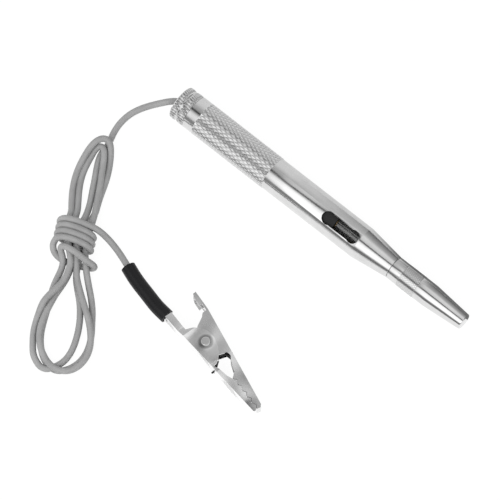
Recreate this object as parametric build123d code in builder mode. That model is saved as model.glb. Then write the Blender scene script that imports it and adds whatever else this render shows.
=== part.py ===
from build123d import *
import math
import os

# Circuit test light: a pen-shaped lamp tester with a cord and an alligator clip. Millimetres, +Z up.
# The pen lies along X with its probe end towards +X, the origin below its middle on the table that it lies on.

# Pen, lengths along its axis from the rear end
cap_flange_length = 5.7
band_length = 3.9
grip_length = 29.7
body_length = 37.9
cone_length = 13.2
front_cap_length = 29.6

# Pen, radii
grip_radius = 6.0
grip_step = 0.2
nose_radius = 4.05
tip_radius = 2.85
wall = 1.1
edge_break = 0.2

# Threads, drawn as rings
cap_thread_wall = 0.9
cap_thread_length = 8.0
cap_thread_pitch = 0.8
nose_thread_radius = 3.0
nose_thread_length = 7.2
nose_thread_pitch = 0.6
thread_clearance = 0.1
thread_relief = 0.5

# Rear cap
cap_rear_radius = 5.3
cap_groove_offset = 2.7
cap_groove_depth = 0.45
flute_count = 40
flute_radius = 0.3
cord_hole_clearance = 0.3
cap_counterbore_radius = 3.2
cap_end_wall = 1.7

# Lamp window, a slot with a round hole at each end
window_setback = 2.7
window_spacing = 10.1
window_hole_radius = 2.3
window_slot_width = 4.0
window_turn = 20.0

# Probe needle and its bush
needle_radius = 1.0
needle_reach = 26.1
needle_shank_step = 0.2
needle_shank_reach = 8.6
needle_point_length = 4.5
needle_point_radius = 0.08
needle_head_radius = 2.6
needle_head_length = 1.5
bush_wall = 0.85
bush_flange_length = 0.4
bush_overhang = 0.3
running_clearance = 0.05
head_clearance = 0.2
pocket_setback = 3.8
bore_past_cone = 0.8
front_cap_needle_clearance = 0.9
front_cap_end_wall = 2.7
front_cap_grip_start = 4.0
front_cap_grip_length = 7.0
front_cap_taper_start = 15.3
front_cap_grip_radius = 4.1
front_cap_end_round = 0.5

# Lamp
lamp_radius = 3.0
lamp_glass_radius = 2.8
lamp_glass_wall = 0.45
lamp_shell_length = 8.5
lamp_glass_length = 16.2
lamp_front_cap_length = 2.6
lamp_cap_overlap = 1.6
lamp_button_radius = 1.0
lamp_button_length = 0.8
lamp_nib_length = 1.7
lamp_contact_gap = 0.2
filament_radius = 0.2
filament_length = 7.0
support_radius = 0.25

# Inner parts behind the lamp
tube_clearance = 0.1
tube_lamp_clearance = 0.5
tube_lamp_overlap = 8.3
plunger_length = 1.2
plunger_stub_radius = 1.7
plunger_stub_length = 3.8
spring_wire_radius = 0.3
spring_radius = 2.3
spring_turns = 15
washer_length = 0.8
washer_clearance = 0.6
disc_length = 0.8
disc_radius = 3.3
conductor_radius = 0.55
conductor_clearance = 0.15
solder_radius = 1.4
solder_height = 0.9
ferrule_length = 2.6
ferrule_wall = 0.8

# Cord
cord_radius = 1.1
ferrule_clearance = 0.05
jacket_inside_cap = 4.6

# Clip, in its own plane: x towards the nose, y towards the upper jaw, the pivot at 0, 0
clip_pivot_x = 0.0
clip_pivot_y = -58.9
clip_turn = -13.8
sheet = 0.5
ear_width = 6.5
tail_width = 5.0
nose_width = 4.2
jaw_side_clearance = 0.15
rivet_radius = 1.05
rivet_head_radius = 1.6
rivet_head_height = 0.5
tooth_count = 5
tooth_pitch = 2.6
tooth_depth = 0.9
tooth_gap = 0.2
tooth_start = 15.0
mouth_y = 0.1
clip_wire_radius = 0.3
clip_coil_clearance = 0.45
clip_coil_pitch = 0.75
clip_coil_turns = 3
clip_leg_rise = 1.9
clip_slot = 1.1
crimp_clearance = 0.1
crimp_wall = 0.5
crimp_length = 5.6
crimp_turn = 8.0
crimp_ridge = 0.15
crimp_ridge_length = 0.5
crimp_ridge_pitch = 1.4
jacket_in_crimp = 4.0
clip_conductor_length = 4.5

# Boot over the clip's tail
boot_clearance = 0.1
boot_wall = 0.5
boot_mouth_gap = 0.7
boot_neck_length = 2.4
boot_neck_clearance = 0.15

# Stations along X
pen_length = cap_flange_length + band_length + grip_length + body_length + cone_length + front_cap_length
x_rear = -pen_length / 2
x_flange = x_rear + cap_flange_length
x_grip = x_flange + band_length
x_body = x_grip + grip_length
x_cone = x_body + body_length
x_nose = x_cone + cone_length
x_tip = x_nose + front_cap_length
axis_z = grip_radius

pen_axis = Axis((0, 0, axis_z), (1, 0, 0))
turning = Plane(origin=(0, 0, axis_z), x_dir=(1, 0, 0), z_dir=(0, -1, 0))

body_radius = grip_radius - grip_step
thread_bore_radius = grip_radius - cap_thread_wall
cap_thread_radius = thread_bore_radius - thread_clearance
cap_thread_end = x_flange + cap_thread_length
nose_thread_end = x_nose + nose_thread_length
bore_radius = body_radius - wall
thread_bore_end = cap_thread_end + washer_length + disc_length + thread_relief
needle_shank_radius = needle_radius + needle_shank_step
nose_bore_radius = needle_shank_radius + bush_wall + 2 * running_clearance
bush_radius = nose_bore_radius - running_clearance

# The needle's head lies in a pocket behind the nose bore, on the bush's flange
pocket_end = x_nose - pocket_setback
head_end = pocket_end - bush_flange_length
head_start = head_end - needle_head_length
pocket_radius = needle_head_radius + head_clearance
pocket_start = head_start - running_clearance
bore_end = x_cone + bore_past_cone

# The lamp's stations, from the needle's head back to the plunger
lamp_nib_end = head_start - lamp_contact_gap
lamp_front = lamp_nib_end - lamp_nib_length
glass_end = lamp_front - lamp_front_cap_length + lamp_cap_overlap
glass_start = glass_end - lamp_glass_length
shell_end = glass_start + lamp_cap_overlap
shell_start = shell_end - lamp_shell_length
button_start = shell_start - lamp_button_length
plunger_end = button_start - lamp_contact_gap
plunger_start = plunger_end - plunger_length
tube_start = thread_bore_end + thread_relief
tube_end = shell_start + tube_lamp_overlap
tube_radius = bore_radius - tube_clearance

washer_radius = thread_bore_radius - washer_clearance
washer_start = cap_thread_end
disc_start = washer_start + washer_length
disc_end = disc_start + disc_length
spring_start = disc_end + spring_wire_radius + running_clearance
spring_end = plunger_start - spring_wire_radius - running_clearance

clip_z = rivet_head_height + ear_width / 2
clip_coil_radius = rivet_radius + clip_coil_clearance + clip_wire_radius
clip_leg_slope = clip_coil_pitch / math.hypot(clip_coil_pitch, 2 * math.pi * clip_coil_radius)
clip_leg_height = clip_coil_pitch * clip_coil_turns / 2 + clip_leg_rise * clip_leg_slope
crimp_bore_radius = cord_radius + crimp_clearance
crimp_radius = crimp_bore_radius + crimp_wall
boot_bore_radius = crimp_radius + crimp_ridge + boot_clearance
boot_radius = boot_bore_radius + boot_wall
clip_plane = Plane(origin=(clip_pivot_x, clip_pivot_y, 0)).rotated((0, 0, clip_turn))
clip_mid = clip_plane.offset(clip_z)

os.makedirs("parts", exist_ok=True)


def thread_rings(start, end, radius, pitch):
    """The crests and roots of a thread drawn as rings, as (x, radius) points."""
    count = int((end - start) / pitch)
    depth = pitch / 2
    first = end - count * pitch
    points = [(start, radius - depth)]
    for i in range(count):
        points.append((first + i * pitch + pitch * 0.1, radius - depth))
        points.append((first + i * pitch + pitch * 0.5, radius))
        points.append((first + (i + 1) * pitch - pitch * 0.1, radius - depth))
    points.append((end, radius - depth))
    return points


def route_radii(points):
    """The largest tangent arc at each corner of a route: 0.45 of the shorter run over the half turn's tangent."""
    vectors = [Vector(*p) for p in points]
    radii = []
    for a, b, c in zip(vectors, vectors[1:], vectors[2:]):
        before = b - a
        after = c - b
        turn = before.get_angle(after)
        shorter = min(before.length, after.length)
        radii.append(0.45 * shorter / math.tan(math.radians(turn) / 2))
    return radii


def clip_point(x, y, z):
    """A point of the clip's own plane, in the part's frame."""
    return tuple(clip_plane.from_local_coords(Vector(x, y, z)))


# ---------------------------------------------------------------- pen: turned shells

with BuildPart() as barrel:
    with BuildSketch(turning):
        with BuildLine():
            Polyline(
                (x_flange, thread_bore_radius),
                (x_flange, grip_radius - edge_break),
                (x_flange + edge_break, grip_radius),
                (x_body - edge_break, grip_radius),
                (x_body, body_radius),
                (x_cone, body_radius),
                (x_nose, nose_radius),
                *thread_rings(x_nose, nose_thread_end, nose_thread_radius, nose_thread_pitch),
                (nose_thread_end, nose_bore_radius),
                (pocket_end, nose_bore_radius),
                (pocket_end, pocket_radius),
                (pocket_start, pocket_radius),
                (bore_end, bore_radius),
                (thread_bore_end, bore_radius),
                (thread_bore_end, thread_bore_radius),
                close=True,
            )
        make_face()
    revolve(axis=pen_axis)
    # The lamp window is cut through one side of the wall, turned from the top towards the front
    window_plane = Plane(origin=(0, 0, axis_z), x_dir=(1, 0, 0), z_dir=(0, 0, 1)).rotated((window_turn, 0, 0))
    window_front = x_cone - window_setback
    with BuildSketch(window_plane):
        with Locations((window_front, 0), (window_front - window_spacing, 0)):
            Circle(window_hole_radius)
        with Locations((window_front - window_spacing / 2, 0)):
            Rectangle(window_spacing, window_slot_width)
    extrude(amount=2 * grip_radius, mode=Mode.SUBTRACT)
barrel.part.label = "barrel"
export_step(barrel.part, "parts/barrel.step")

with BuildPart() as rear_cap:
    cord_hole_radius = cord_radius + cord_hole_clearance
    counterbore_start = x_rear + cap_end_wall
    groove_x = x_rear + cap_groove_offset
    with BuildSketch(turning):
        with BuildLine():
            Polyline(
                (x_rear, cord_hole_radius + 2 * cord_hole_clearance),
                (x_rear, cap_rear_radius),
                (x_rear + 2 * edge_break, cap_rear_radius + edge_break),
                (x_rear + 6 * edge_break, grip_radius),
                (groove_x - cap_groove_depth, grip_radius),
                (groove_x, grip_radius - cap_groove_depth),
                (groove_x + cap_groove_depth, grip_radius),
                (x_flange - edge_break, grip_radius),
                (x_flange, grip_radius - edge_break),
                *thread_rings(x_flange, cap_thread_end, cap_thread_radius, cap_thread_pitch),
                (cap_thread_end, cap_counterbore_radius),
                (counterbore_start, cap_counterbore_radius),
                (counterbore_start, cord_hole_radius),
                (x_rear + 2 * cord_hole_clearance, cord_hole_radius),
                close=True,
            )
        make_face()
    revolve(axis=pen_axis)
    with BuildSketch(Plane(origin=(x_rear, 0, axis_z), x_dir=(0, 1, 0), z_dir=(1, 0, 0))):
        with PolarLocations(grip_radius, flute_count):
            Circle(flute_radius)
    extrude(amount=cap_flange_length - edge_break, mode=Mode.SUBTRACT)
rear_cap.part.label = "rear_cap"
export_step(rear_cap.part, "parts/rear_cap.step")

with BuildPart() as front_cap:
    front_cap_bore_radius = needle_radius + front_cap_needle_clearance
    front_bore_start = nose_thread_end + bush_overhang + thread_relief
    grip_x = x_nose + front_cap_grip_start
    taper_x = x_nose + front_cap_taper_start
    with BuildSketch(turning):
        with BuildLine():
            Polyline(
                (x_nose, nose_thread_radius + thread_clearance),
                (x_nose, nose_radius - edge_break),
                (x_nose + edge_break, nose_radius),
                (grip_x, nose_radius),
                (grip_x, front_cap_grip_radius),
                (grip_x + front_cap_grip_length, front_cap_grip_radius),
                (grip_x + front_cap_grip_length, nose_radius),
                (taper_x, nose_radius - edge_break / 2),
                (x_tip - front_cap_end_round, tip_radius),
                (x_tip, tip_radius - front_cap_end_round),
                (x_tip, 0),
                (x_tip - front_cap_end_wall, 0),
                (x_tip - front_cap_end_wall, front_cap_bore_radius),
                (front_bore_start, front_cap_bore_radius),
                (front_bore_start, nose_thread_radius + thread_clearance),
                close=True,
            )
        make_face()
    revolve(axis=pen_axis)
front_cap.part.label = "front_cap"
export_step(front_cap.part, "parts/front_cap.step")

# ---------------------------------------------------------------- pen: probe end

with BuildPart() as needle_bush:
    with BuildSketch(turning):
        with BuildLine():
            Polyline(
                (head_end, needle_shank_radius + running_clearance),
                (head_end, needle_head_radius),
                (pocket_end, needle_head_radius),
                (pocket_end, bush_radius),
                (nose_thread_end + bush_overhang, bush_radius),
                (nose_thread_end + bush_overhang, needle_shank_radius + running_clearance),
                close=True,
            )
        make_face()
    revolve(axis=pen_axis)
needle_bush.part.label = "needle_bush"
export_step(needle_bush.part, "parts/needle_bush.step")

with BuildPart() as probe_needle:
    needle_end = x_nose + needle_reach
    with BuildSketch(turning):
        with BuildLine():
            Polyline(
                (head_start, 0),
                (head_start, needle_head_radius - edge_break),
                (head_start + edge_break, needle_head_radius),
                (head_end, needle_head_radius),
                (head_end, needle_shank_radius),
                (x_nose + needle_shank_reach, needle_shank_radius),
                (x_nose + needle_shank_reach, needle_radius),
                (needle_end - needle_point_length, needle_radius),
                (needle_end, needle_point_radius),
                (needle_end, 0),
                close=True,
            )
        make_face()
    revolve(axis=pen_axis)
probe_needle.part.label = "probe_needle"
export_step(probe_needle.part, "parts/probe_needle.step")

# ---------------------------------------------------------------- pen: lamp

with BuildPart() as lamp_front_cap:
    cap_bore_radius = lamp_glass_radius + running_clearance
    with BuildSketch(turning):
        with BuildLine():
            Polyline(
                (lamp_front - lamp_front_cap_length, cap_bore_radius),
                (lamp_front - lamp_front_cap_length, lamp_radius),
                (lamp_front - edge_break, lamp_radius),
                (lamp_front, lamp_radius - edge_break),
                (lamp_front, lamp_button_radius),
                (lamp_nib_end - edge_break, lamp_button_radius),
                (lamp_nib_end, lamp_button_radius - edge_break),
                (lamp_nib_end, 0),
                (glass_end + running_clearance, 0),
                (glass_end + running_clearance, cap_bore_radius),
                close=True,
            )
        make_face()
    revolve(axis=pen_axis)
lamp_front_cap.part.label = "lamp_front_cap"
export_step(lamp_front_cap.part, "parts/lamp_front_cap.step")

with BuildPart() as lamp_glass:
    glass_inner_radius = lamp_glass_radius - lamp_glass_wall
    with BuildSketch(turning):
        with BuildLine():
            Polyline(
                (glass_start, glass_inner_radius),
                (glass_start, lamp_glass_radius),
                (glass_end, lamp_glass_radius),
                (glass_end, glass_inner_radius),
                close=True,
            )
        make_face()
    revolve(axis=pen_axis)
lamp_glass.part.label = "lamp_glass"
export_step(lamp_glass.part, "parts/lamp_glass.step")

with BuildPart() as lamp_shell:
    with BuildSketch(turning):
        with BuildLine():
            Polyline(
                (button_start, 0),
                (button_start, lamp_button_radius - edge_break),
                (button_start + edge_break, lamp_button_radius),
                (shell_start, lamp_button_radius),
                (shell_start, lamp_radius - edge_break),
                (shell_start + edge_break, lamp_radius),
                (shell_end, lamp_radius),
                (shell_end, cap_bore_radius),
                (glass_start - running_clearance, cap_bore_radius),
                (glass_start - running_clearance, 0),
                close=True,
            )
        make_face()
    revolve(axis=pen_axis)
lamp_shell.part.label = "lamp_shell"
export_step(lamp_shell.part, "parts/lamp_shell.step")

filament_middle = (shell_end + lamp_front - lamp_front_cap_length) / 2
filament_start = filament_middle - filament_length / 2
filament_end = filament_middle + filament_length / 2
across = Plane(origin=(0, 0, axis_z), x_dir=(0, 1, 0), z_dir=(1, 0, 0))

with BuildPart() as lamp_supports:
    with BuildSketch(across.offset(glass_start)):
        Circle(support_radius)
    extrude(amount=filament_start - glass_start)
    with BuildSketch(across.offset(filament_end)):
        Circle(support_radius)
    extrude(amount=glass_end - filament_end)
lamp_supports.part.label = "lamp_supports"
export_step(lamp_supports.part, "parts/lamp_supports.step")

with BuildPart() as lamp_filament:
    with BuildSketch(across.offset(filament_start)):
        Circle(filament_radius)
    extrude(amount=filament_length)
lamp_filament.part.label = "lamp_filament"
export_step(lamp_filament.part, "parts/lamp_filament.step")

# ---------------------------------------------------------------- pen: behind the lamp

with BuildPart() as insulating_tube:
    with BuildSketch(across.offset(tube_start)):
        Circle(tube_radius)
        Circle(lamp_radius + tube_lamp_clearance, mode=Mode.SUBTRACT)
    extrude(amount=tube_end - tube_start)
insulating_tube.part.label = "insulating_tube"
export_step(insulating_tube.part, "parts/insulating_tube.step")

with BuildPart() as contact_plunger:
    with BuildSketch(across.offset(plunger_start)):
        Circle(lamp_radius)
    extrude(amount=plunger_length)
    with BuildSketch(across.offset(plunger_start)):
        Circle(plunger_stub_radius)
    extrude(amount=-plunger_stub_length)
contact_plunger.part.label = "contact_plunger"
export_step(contact_plunger.part, "parts/contact_plunger.step")

with BuildPart() as contact_spring:
    spring_height = spring_end - spring_start
    with BuildLine():
        coil = Helix(
            pitch=spring_height / spring_turns,
            height=spring_height,
            radius=spring_radius,
            center=(spring_start, 0, axis_z),
            direction=(1, 0, 0),
        )
    with BuildSketch(Plane(origin=coil @ 0, z_dir=coil % 0)):
        Circle(spring_wire_radius)
    sweep(path=coil, is_frenet=True)
contact_spring.part.label = "contact_spring"
export_step(contact_spring.part, "parts/contact_spring.step")

with BuildPart() as contact_disc:
    with BuildSketch(across.offset(disc_start)):
        Circle(disc_radius)
        Circle(conductor_radius + conductor_clearance, mode=Mode.SUBTRACT)
    extrude(amount=disc_length)
contact_disc.part.label = "contact_disc"
export_step(contact_disc.part, "parts/contact_disc.step")

with BuildPart() as solder_joint:
    with BuildSketch(turning):
        with BuildLine():
            Polyline(
                (disc_end, 0),
                (disc_end, solder_radius),
                (disc_end + solder_height * 0.5, solder_radius * 0.85),
                (disc_end + solder_height * 0.9, solder_radius * 0.45),
                (disc_end + solder_height, 0),
                close=True,
            )
        make_face()
    revolve(axis=pen_axis)
solder_joint.part.label = "solder_joint"
export_step(solder_joint.part, "parts/solder_joint.step")

with BuildPart() as rear_washer:
    with BuildSketch(across.offset(washer_start)):
        Circle(washer_radius)
        Circle(conductor_radius + conductor_clearance, mode=Mode.SUBTRACT)
    extrude(amount=washer_length)
rear_washer.part.label = "rear_washer"
export_step(rear_washer.part, "parts/rear_washer.step")

# ---------------------------------------------------------------- cord

# The jacket ends inside the rear cap, in a crimped ferrule that stops the cord from pulling out
jacket_end = x_rear + jacket_inside_cap
ferrule_start = jacket_end - ferrule_length

with BuildPart() as cord_ferrule:
    with BuildSketch(across.offset(ferrule_start)):
        Circle(cord_radius + ferrule_clearance + ferrule_wall)
        Circle(cord_radius + ferrule_clearance, mode=Mode.SUBTRACT)
    extrude(amount=ferrule_length)
cord_ferrule.part.label = "cord_ferrule"
export_step(cord_ferrule.part, "parts/cord_ferrule.step")

with BuildPart() as pen_conductor:
    with BuildSketch(across.offset(jacket_end)):
        Circle(conductor_radius)
    extrude(amount=disc_end - jacket_end)
pen_conductor.part.label = "pen_conductor"
export_step(pen_conductor.part, "parts/pen_conductor.step")

pen_run_points = [
    (jacket_end, 0, axis_z),
    (x_rear - 0.2, 0, axis_z),
    (-62.6, -2.1, 4.2),
    (-65.3, -4.4, 2.0),
    (-68.4, -8.1, 1.2),
    (-70.1, -12.8, 1.15),
    (-70.3, -18.2, 1.2),
    (-69.9, -23.4, 1.15),
]
pen_run_radii = route_radii(pen_run_points)
with BuildPart() as cord_pen_run:
    with BuildLine():
        pen_path = FilletPolyline(*pen_run_points, radius=pen_run_radii)
    with BuildSketch(Plane(origin=pen_path @ 0, z_dir=pen_path % 0)):
        Circle(cord_radius)
    sweep(path=pen_path)
cord_pen_run.part.label = "cord_pen_run"
export_step(cord_pen_run.part, "parts/cord_pen_run.step")

# The hank: two flat lobes of loops tied by the wrap round their middle
lobe_height = 3.3
wrap_centre = (-55.5, -59.5)
wrap_axis = (0.437, -0.9, 0)
wrap_half_width = 7.6
wrap_half_height = 4.1
wrap_lift = 0.05
wrap_half_length = 5.6
upper_outline = [
    (-61.5, -57.5),
    (-64.6, -53.0),
    (-70.7, -44.2),
    (-74.8, -36.0),
    (-75.8, -28.5),
    (-73.2, -23.6),
    (-68.6, -23.4),
    (-64.6, -27.0),
    (-60.5, -33.6),
    (-57.2, -40.5),
    (-53.6, -49.5),
    (-51.5, -56.0),
]
lower_outline = [
    (-60.5, -61.0),
    (-56.8, -67.5),
    (-53.8, -73.3),
    (-51.4, -80.5),
    (-48.6, -88.8),
    (-45.6, -95.0),
    (-41.5, -98.9),
    (-36.2, -99.8),
    (-31.0, -97.6),
    (-27.3, -93.5),
    (-26.6, -87.5),
    (-28.0, -82.0),
    (-31.8, -77.2),
    (-37.5, -72.5),
    (-43.5, -67.5),
    (-49.0, -60.5),
]
lower_opening = [
    (-47.6, -73.2),
    (-46.0, -79.5),
    (-44.2, -85.5),
    (-42.0, -90.3),
    (-38.5, -93.2),
    (-34.6, -92.9),
    (-31.8, -90.2),
    (-31.2, -86.5),
    (-33.4, -81.8),
    (-38.3, -77.0),
    (-43.2, -73.2),
]
with BuildPart() as cord_hank:
    with BuildSketch():
        with BuildLine():
            upper_edge = Spline(*upper_outline)
            Line(upper_edge @ 1, upper_edge @ 0)
        make_face()
        with BuildLine():
            lower_edge = Spline(*lower_outline)
            Line(lower_edge @ 1, lower_edge @ 0)
        make_face()
        with BuildLine():
            Spline(*lower_opening, lower_opening[0], periodic=False)
        make_face(mode=Mode.SUBTRACT)
    extrude(amount=lobe_height)
    wrap_plane = Plane(
        origin=(*wrap_centre, wrap_half_height + wrap_lift),
        x_dir=(0.9, 0.437, 0),
        z_dir=wrap_axis,
    )
    with BuildSketch(wrap_plane):
        Ellipse(wrap_half_width, wrap_half_height)
    extrude(amount=wrap_half_length, both=True)
cord_hank.part.label = "cord_hank"
export_step(cord_hank.part, "parts/cord_hank.step")

crimp_front = (-14.6, -4.2)
crimp_dir = (-math.cos(math.radians(crimp_turn)), -math.sin(math.radians(crimp_turn)))
crimp_back = (crimp_front[0] + crimp_length * crimp_dir[0], crimp_front[1] + crimp_length * crimp_dir[1])
jacket_step = crimp_length - jacket_in_crimp
jacket_front = (crimp_front[0] + jacket_step * crimp_dir[0], crimp_front[1] + jacket_step * crimp_dir[1])
boot_mouth = (crimp_front[0] + boot_mouth_gap * crimp_dir[0], crimp_front[1] + boot_mouth_gap * crimp_dir[1])
boot_points = [
    (-36.9, -54.1, 2.55),
    (-31.9, -56.0, 2.8),
    (-26.5, -57.4, 3.3),
    clip_point(*crimp_back, clip_z - 0.05),
    clip_point(*boot_mouth, clip_z),
]
clip_run_points = [
    (-55.6, -51.6, 6.0),
    (-52.4, -50.4, 4.6),
    (-48.6, -50.3, 2.6),
    (-44.2, -51.4, 1.5),
    (-40.4, -52.7, 1.9),
    *boot_points[:-1],
    clip_point(*jacket_front, clip_z),
]
clip_run_radii = route_radii(clip_run_points)
with BuildPart() as cord_clip_run:
    with BuildLine():
        clip_path = FilletPolyline(*clip_run_points, radius=clip_run_radii)
    with BuildSketch(Plane(origin=clip_path @ 0, z_dir=clip_path % 0)):
        Circle(cord_radius)
    sweep(path=clip_path)
cord_clip_run.part.label = "cord_clip_run"
export_step(cord_clip_run.part, "parts/cord_clip_run.step")

# ---------------------------------------------------------------- boot

boot_radii = route_radii(boot_points)
# The neck grips the jacket, and the wider bore in front of it holds the crimp
boot_start = Vector(*boot_points[0])
boot_first_run = Vector(*boot_points[1]) - boot_start
bore_start = boot_start + boot_first_run.normalized() * boot_neck_length
with BuildPart() as clip_boot:
    with BuildLine():
        boot_path = FilletPolyline(*boot_points, radius=boot_radii)
    with BuildSketch(Plane(origin=boot_path @ 0, z_dir=boot_path % 0)):
        Circle(boot_radius)
        Circle(cord_radius + boot_neck_clearance, mode=Mode.SUBTRACT)
    sweep(path=boot_path)
    with BuildLine():
        bore_path = FilletPolyline(bore_start, *boot_points[1:], radius=boot_radii)
    with BuildSketch(Plane(origin=bore_path @ 0, z_dir=bore_path % 0)):
        Circle(boot_bore_radius)
    sweep(path=bore_path, mode=Mode.SUBTRACT)
clip_boot.part.label = "clip_boot"
export_step(clip_boot.part, "parts/clip_boot.step")

# ---------------------------------------------------------------- clip


def tooth_line(offset):
    """The zigzag of the teeth from the nose back, moved by offset towards the upper jaw."""
    points = []
    for i in range(tooth_count, 0, -1):
        x = tooth_start + i * tooth_pitch
        points.append((x, mouth_y + offset - tooth_depth / 2))
        points.append((x - tooth_pitch / 2, mouth_y + offset + tooth_depth / 2))
    points.append((tooth_start, mouth_y + offset - tooth_depth / 2))
    return points


nose_x = tooth_start + tooth_count * tooth_pitch
nose_round = 0.35
nose_slope = 0.05
jaw_reach = 6.0
lower_hook = (8.6, -3.5)
upper_hook = (7.6, 4.6)
hook_slot_depth = 3.0
lower_ear = [
    (8.2, -2.9),
    (7.9, -1.3),
    (6.3, 0.7),
    (3.6, 2.3),
    (0.4, 3.1),
    (-2.6, 2.7),
    (-4.8, 1.5),
    (-6.5, -0.6),
    (-7.4, -2.7),
]
lower_spine_tail = (-15.0, -5.35)
lower_spine_bend = (-9.0, -5.0)
lower_spine_nose = (nose_x, -1.5)
upper_spine_tail = (-16.0, 7.7)
upper_spine_bend = (-9.0, 7.4)
upper_spine_nose = (nose_x - 0.5, 1.9)
upper_lobe = [
    (13.4, 1.6),
    (9.8, 2.9),
    (8.3, 3.9),
    (6.8, 3.5),
    (6.1, 1.2),
    (4.4, -1.3),
    (2.0, -2.5),
    (0.0, -2.8),
    (-2.2, -2.3),
    (-4.3, -0.8),
    (-6.1, 1.2),
    (-6.9, 2.7),
    (-7.7, 4.1),
    (-8.8, 5.2),
]


def width_outline(inset, pivot_width):
    """Half of a jaw's width along the clip, from tail to nose, drawn in from the outside by inset."""
    return [
        (-24.0, tail_width / 2 - inset),
        (-8.5, min(tail_width, pivot_width) / 2 - inset),
        (-6.0, pivot_width / 2 - inset),
        (7.2, pivot_width / 2 - inset),
        (10.2, tail_width / 2 - inset),
        (nose_x + 1, nose_width / 2 - inset),
    ]


def jaw_block(side, inset, pivot_width):
    """A solid with one outline seen along the pivot and a jaw's width, less inset, seen from its spine."""
    half = width_outline(inset, pivot_width)
    with BuildPart() as block:
        with BuildSketch(clip_plane):
            with BuildLine():
                Polyline(*side, close=True)
            make_face()
        extrude(amount=clip_depth)
        with BuildSketch(Plane(clip_mid.origin, x_dir=clip_mid.x_dir, z_dir=clip_mid.y_dir)):
            with BuildLine():
                Polyline(*half, *[(x, -w) for x, w in reversed(half)], close=True)
            make_face()
        extrude(amount=clip_depth, both=True, mode=Mode.INTERSECT)
    return block.part


# Each jaw is its outside less its channel's hollow, which starts one sheet inside the spine
clip_depth = 4 * ear_width
upper_pivot_width = ear_width - 2 * sheet - 2 * jaw_side_clearance
lower_outside = jaw_block(
    [
        lower_spine_tail,
        lower_spine_bend,
        lower_spine_nose,
        (nose_x + nose_round, -1.0),
        *tooth_line(-tooth_gap / 2),
        (13.4, -1.2),
        (9.8, -1.9),
        *lower_ear,
        (lower_spine_tail[0], -2.8),
    ],
    0,
    ear_width,
)
lower_hollow = jaw_block(
    [
        (lower_spine_tail[0] - sheet, lower_spine_tail[1] + sheet),
        (lower_spine_bend[0], lower_spine_bend[1] + sheet),
        (nose_x - sheet, lower_spine_nose[1] + sheet - nose_slope),
        (nose_x - sheet, jaw_reach),
        (lower_spine_tail[0] - sheet, jaw_reach),
    ],
    sheet,
    ear_width,
)
upper_outside = jaw_block(
    [
        upper_spine_tail,
        upper_spine_bend,
        upper_spine_nose,
        (nose_x + nose_round, 1.1),
        *tooth_line(tooth_gap / 2),
        *upper_lobe,
        (-8.8, 6.7),
        (-11.4, 6.9),
        (-11.4, 5.8),
        (-14.4, 6.0),
        (-15.9, 6.6),
    ],
    0,
    upper_pivot_width,
)
upper_hollow = jaw_block(
    [
        (upper_spine_tail[0] + sheet, upper_spine_tail[1] - sheet),
        (upper_spine_bend[0], upper_spine_bend[1] - sheet),
        (nose_x - sheet, upper_spine_nose[1] - sheet + nose_slope),
        (nose_x - sheet, -jaw_reach),
        (upper_spine_tail[0] + sheet, -jaw_reach),
    ],
    sheet,
    upper_pivot_width,
)

with BuildPart() as clip_lower_jaw:
    add(lower_outside)
    add(lower_hollow, mode=Mode.SUBTRACT)
    # Rivet hole through both ears
    with BuildSketch(clip_plane):
        Circle(rivet_radius + running_clearance)
    extrude(amount=clip_depth, mode=Mode.SUBTRACT)
    # Slot for the spring's lower hook
    with BuildSketch(clip_mid.offset(-clip_leg_height - clip_slot / 2)):
        with Locations(lower_hook):
            Rectangle(clip_slot, hook_slot_depth)
    extrude(amount=clip_slot, mode=Mode.SUBTRACT)
    # Crimp barrel round the cord
    crimp_plane = Plane(
        origin=clip_point(*crimp_front, clip_z),
        x_dir=(0, 0, 1),
        z_dir=Vector(*clip_point(*crimp_back, clip_z)) - Vector(*clip_point(*crimp_front, clip_z)),
    )
    with BuildSketch(crimp_plane):
        Circle(crimp_radius)
    extrude(amount=crimp_length)
    for i in range(1, 4):
        with BuildSketch(crimp_plane.offset(i * crimp_ridge_pitch)):
            Circle(crimp_radius + crimp_ridge)
        extrude(amount=crimp_ridge_length)
    with BuildSketch(crimp_plane.offset(-sheet)):
        Circle(crimp_bore_radius)
    extrude(amount=crimp_length + 2 * sheet, mode=Mode.SUBTRACT)
clip_lower_jaw.part.label = "clip_lower_jaw"
export_step(clip_lower_jaw.part, "parts/clip_lower_jaw.step")

with BuildPart() as clip_upper_jaw:
    add(upper_outside)
    add(upper_hollow, mode=Mode.SUBTRACT)
    with BuildSketch(clip_plane):
        Circle(rivet_radius + running_clearance)
    extrude(amount=clip_depth, mode=Mode.SUBTRACT)
    # Slot for the spring's upper hook
    with BuildSketch(clip_mid.offset(clip_leg_height - clip_slot / 2)):
        with Locations(upper_hook):
            Rectangle(clip_slot, hook_slot_depth)
    extrude(amount=clip_slot, mode=Mode.SUBTRACT)
clip_upper_jaw.part.label = "clip_upper_jaw"
export_step(clip_upper_jaw.part, "parts/clip_upper_jaw.step")

with BuildPart() as clip_pivot:
    rivet_length = ear_width + 2 * rivet_head_height
    with BuildSketch(clip_plane):
        Circle(rivet_radius)
    extrude(amount=rivet_length)
    with BuildSketch(clip_plane, clip_plane.offset(rivet_length - rivet_head_height)):
        Circle(rivet_head_radius)
    extrude(amount=rivet_head_height)
    rims = clip_pivot.edges().filter_by(GeomType.CIRCLE).sort_by(Axis.Z)
    fillet([rims[0], rims[-1]], radius=rivet_head_height * 0.8)
clip_pivot.part.label = "clip_pivot"
export_step(clip_pivot.part, "parts/clip_pivot.step")

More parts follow.
